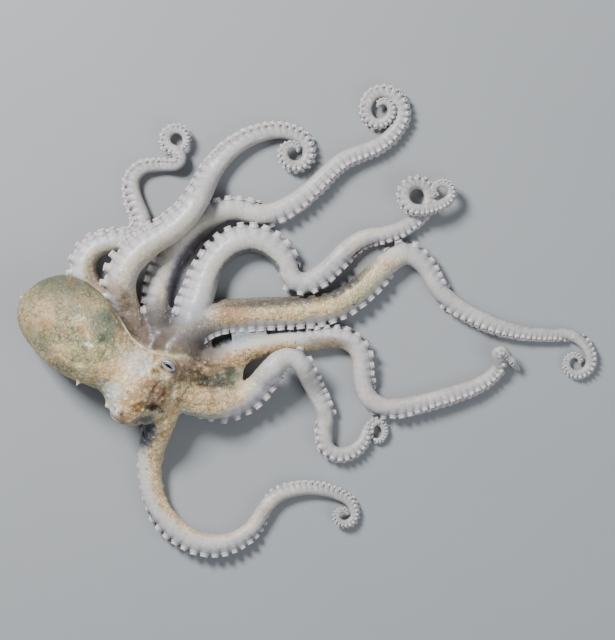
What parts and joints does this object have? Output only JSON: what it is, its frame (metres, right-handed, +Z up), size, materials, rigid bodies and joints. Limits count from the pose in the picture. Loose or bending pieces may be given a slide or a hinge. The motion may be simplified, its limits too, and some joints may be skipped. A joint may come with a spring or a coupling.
{
  "type": "octopus",
  "caption": "Small ragged octopus as a still life-size model lying on a floor, mantle tilted over its spread arms, arm tips curled, suckers outward.",
  "frame": {"origin": "middle of the octopus's outline on the floor plan, at floor level", "axes": "+X from the mantle's end towards the spread arm tips, the longest extent; +Z up, the shortest extent; +Y towards the curled right arms"},
  "size_m": [0.1776, 0.144, 0.0251],
  "materials": {
    "mantle_skin": "moist skin, cream and olive with a fine dark green net, orange-tan specks and small pointed papillae",
    "head_skin": "moist skin, pale blue-grey cheeks, orange-tan and brown between the eyes and on the arm roots",
    "funnel_skin": "thin smooth greyish skin",
    "arm_skin": "moist skin, cream-tan speckled back, lilac-white flanks and suckers",
    "arm_tip_skin": "moist, nearly translucent whitish grey skin with faint yellow-green mottling and lilac-white suckers",
    "eye": "wet glossy eyeball with a dark slit pupil in a blue-white iridescent ring"
  },
  "bodies": {
    "root": {"arm_left_1_a": "arm_skin", "arm_left_1_b": "arm_skin", "arm_left_1_c": "arm_tip_skin", "arm_left_1_d": "arm_tip_skin", "arm_left_1_e": "arm_tip_skin", "arm_left_2_a": "arm_skin", "arm_left_2_b": "arm_skin", "arm_left_2_c": "arm_tip_skin", "arm_left_2_d": "arm_tip_skin", "arm_left_2_e": "arm_tip_skin", "arm_left_2_f": "arm_tip_skin", "arm_left_3_a": "arm_skin", "arm_left_3_b": "arm_skin", "arm_left_3_c": "arm_tip_skin", "arm_left_3_d": "arm_tip_skin", "arm_left_3_e": "arm_tip_skin", "arm_left_3_f": "arm_tip_skin", "arm_left_4_a": "arm_skin", "arm_left_4_b": "arm_skin", "arm_left_4_c": "arm_tip_skin", "arm_left_4_d": "arm_tip_skin", "arm_left_4_e": "arm_tip_skin", "arm_left_4_f": "arm_tip_skin", "arm_right_1_a": "arm_skin", "arm_right_1_b": "arm_skin", "arm_right_1_c": "arm_tip_skin", "arm_right_1_d": "arm_tip_skin", "arm_right_1_e": "arm_tip_skin", "arm_right_1_f": "arm_tip_skin", "arm_right_2_a": "arm_skin", "arm_right_2_b": "arm_skin", "arm_right_2_c": "arm_tip_skin", "arm_right_2_d": "arm_tip_skin", "arm_right_2_e": "arm_tip_skin", "arm_right_3_a": "arm_skin", "arm_right_3_b": "arm_skin", "arm_right_3_c": "arm_tip_skin", "arm_right_3_d": "arm_tip_skin", "arm_right_3_e": "arm_tip_skin", "arm_right_4_a": "arm_skin", "arm_right_4_b": "arm_skin", "arm_right_4_c": "arm_tip_skin", "arm_right_4_d": "arm_tip_skin", "arm_right_4_e": "arm_tip_skin", "arm_right_4_f": "arm_tip_skin", "crown": "head_skin", "eye_left": "eye", "eye_right": "eye", "funnel": "funnel_skin", "head": "head_skin", "mantle": "mantle_skin"}
  },
  "joints": []
}
